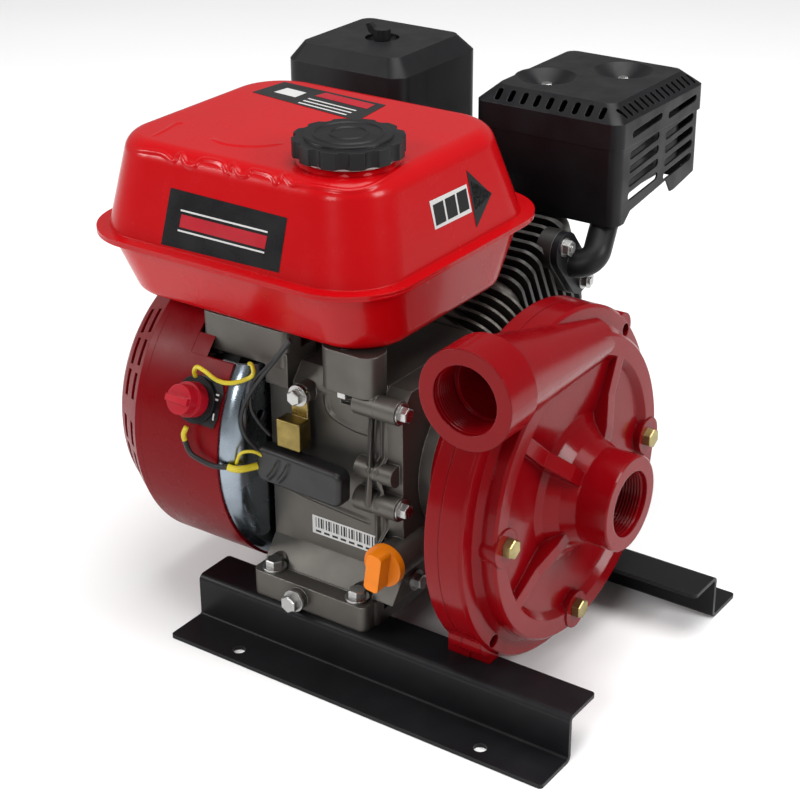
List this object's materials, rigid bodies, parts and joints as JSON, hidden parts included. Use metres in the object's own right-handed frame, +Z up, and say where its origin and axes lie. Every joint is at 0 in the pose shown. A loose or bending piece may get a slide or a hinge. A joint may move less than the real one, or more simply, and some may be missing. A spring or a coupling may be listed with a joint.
{
  "type": "portable fire pump",
  "caption": "Engine-driven portable fire pump: air-cooled petrol engine with tank, air cleaner and shielded muffler, close-coupled to a cast volute pump on two steel rails.",
  "frame": {"origin": "centre of the four base holes, on the floor under the rails", "axes": "+X along the pump shaft towards the suction port, -Y towards the tank side that the discharge port faces, +Z up"},
  "size_m": [0.426, 0.4635, 0.389],
  "materials": {
    "rail_black": "satin",
    "tank_red": "gloss",
    "housing_red": "gloss",
    "pump_red": "gloss",
    "case_aluminium": "satin",
    "head_aluminium": "satin",
    "zinc_sheet": "satin",
    "bolt_steel": "satin",
    "yellow_zinc": "satin",
    "bearing_steel": "polished",
    "shield_black": "satin",
    "black_plastic": "satin",
    "red_plastic": "gloss",
    "orange_plastic": "gloss",
    "chrome_ring": "polished",
    "brass_block": "satin",
    "black_rubber": "matte",
    "lead_insulation": "satin",
    "iron": "matte",
    "steel_shaft": "satin",
    "filter_paper": "matte",
    "rope_cord": "matte",
    "plug_porcelain": "gloss",
    "sticker": "satin",
    "print_white": "satin",
    "inside_dark": "matte"
  },
  "bodies": {
    "pump_set": {"front_rail": "rail_black", "rear_rail": "rail_black", "crankcase": "case_aluminium", "side_cover": "case_aluminium", "side_cover_bolts": "bolt_steel", "foot_bolts": "bolt_steel", "drain_plug": "bolt_steel", "main_bearings": "bearing_steel", "fan_housing": "housing_red", "back_shroud": "zinc_sheet", "recoil_housing": "housing_red", "switch_plate": "black_plastic", "ignition_coil": "black_plastic", "cylinder_head": "head_aluminium", "rocker_cover": "case_aluminium", "rocker_cover_bolts": "bolt_steel", "spark_plug": "plug_porcelain", "plug_cap": "black_rubber", "ignition_lead": "black_rubber", "tank_lower_shell": "tank_red", "tank_upper_shell": "tank_red", "filler_neck": "chrome_ring", "tank_bolts": "bolt_steel", "air_cleaner_base": "black_plastic", "filter_element": "filter_paper", "carburetor_body": "case_aluminium", "throttle_bracket": "zinc_sheet", "fuel_hose": "black_rubber", "exhaust_pipe": "shield_black", "exhaust_nuts": "bolt_steel", "muffler_body": "shield_black", "shield_lid": "shield_black", "shield_sides": "shield_black", "shield_screws": "bolt_steel", "oil_alert_unit": "brass_block", "lead_sleeve": "black_rubber", "switch_leads": "lead_insulation", "sensor_lead": "black_rubber", "pump_adapter": "pump_red", "adapter_bolts": "yellow_zinc", "volute_casing": "pump_red", "casing_bolts": "yellow_zinc", "seal_seat": "bearing_steel"},
    "crank": {"crankshaft": "steel_shaft", "flywheel": "iron", "flywheel_nut": "bolt_steel", "starter_cup": "bolt_steel", "impeller": "iron", "impeller_nut": "bolt_steel"},
    "switch_knob": {"ignition_knob": "red_plastic"},
    "tank_cap": {"fuel_cap": "black_plastic"},
    "oil_plug": {"dipstick": "orange_plastic"},
    "cleaner_cover": {"air_cleaner_cover": "black_plastic"},
    "cleaner_nut": {"wing_nut": "black_plastic"},
    "pull_grip": {"recoil_grip": "black_plastic", "recoil_rope": "rope_cord"},
    "starter_pulley": {"recoil_pulley": "black_plastic"},
    "choke": {"choke_lever": "bolt_steel"},
    "fuel_valve": {"fuel_valve_lever": "bolt_steel"},
    "throttle": {"throttle_lever": "bolt_steel"}
  },
  "joints": [
    {"name": "crank_spin", "type": "hinge", "parent": "pump_set", "child": "crank", "pos_m": [0, 0, 0.143], "axis": [1, 0, 0], "continuous": true},
    {"name": "switch_turn", "type": "hinge", "parent": "pump_set", "child": "switch_knob", "pos_m": [-0.153, -0.11033, 0.18758], "axis": [0, -0.9272, 0.3746], "range_deg": [0, 60]},
    {"name": "cap_turn", "type": "hinge", "parent": "pump_set", "child": "tank_cap", "pos_m": [-0.065, -0.04, 0.37], "axis": [0, 0, 1], "range_deg": [0, 90]},
    {"name": "dipstick_pull", "type": "slide", "parent": "pump_set", "child": "oil_plug", "axis": [0, -1, 0], "range_m": [0, 0.06]},
    {"name": "cleaner_lift", "type": "slide", "parent": "pump_set", "child": "cleaner_cover", "axis": [0, 0, 1], "range_m": [0, 0.1]},
    {"name": "wing_nut_turn", "type": "hinge", "parent": "cleaner_cover", "child": "cleaner_nut", "pos_m": [-0.2005, 0.1905, 0.38], "axis": [0, 0, 1], "continuous": true},
    {"name": "starter_pull", "type": "slide", "parent": "pump_set", "child": "pull_grip", "axis": [0, 1, 0], "range_m": [0, 0.17]},
    {"name": "pulley_spin", "type": "hinge", "parent": "pump_set", "child": "starter_pulley", "pos_m": [-0.222, 0, 0.143], "axis": [-1, 0, 0], "range_deg": [0, 160]},
    {"name": "choke_turn", "type": "hinge", "parent": "pump_set", "child": "choke", "pos_m": [-0.16, 0.1724, 0.226], "axis": [0, 1, 0], "range_deg": [0, 50]},
    {"name": "fuel_valve_turn", "type": "hinge", "parent": "pump_set", "child": "fuel_valve", "pos_m": [-0.148, 0.1724, 0.2], "axis": [0, 1, 0], "range_deg": [-60, 0]},
    {"name": "throttle_turn", "type": "hinge", "parent": "pump_set", "child": "throttle", "pos_m": [-0.134, 0.1055, 0.228], "axis": [0, 1, 0], "range_deg": [0, 35]}
  ],
  "couplings": [
    {"joint": "pulley_spin", "follows": "starter_pull", "rad_per_m": 16.26}
  ]
}
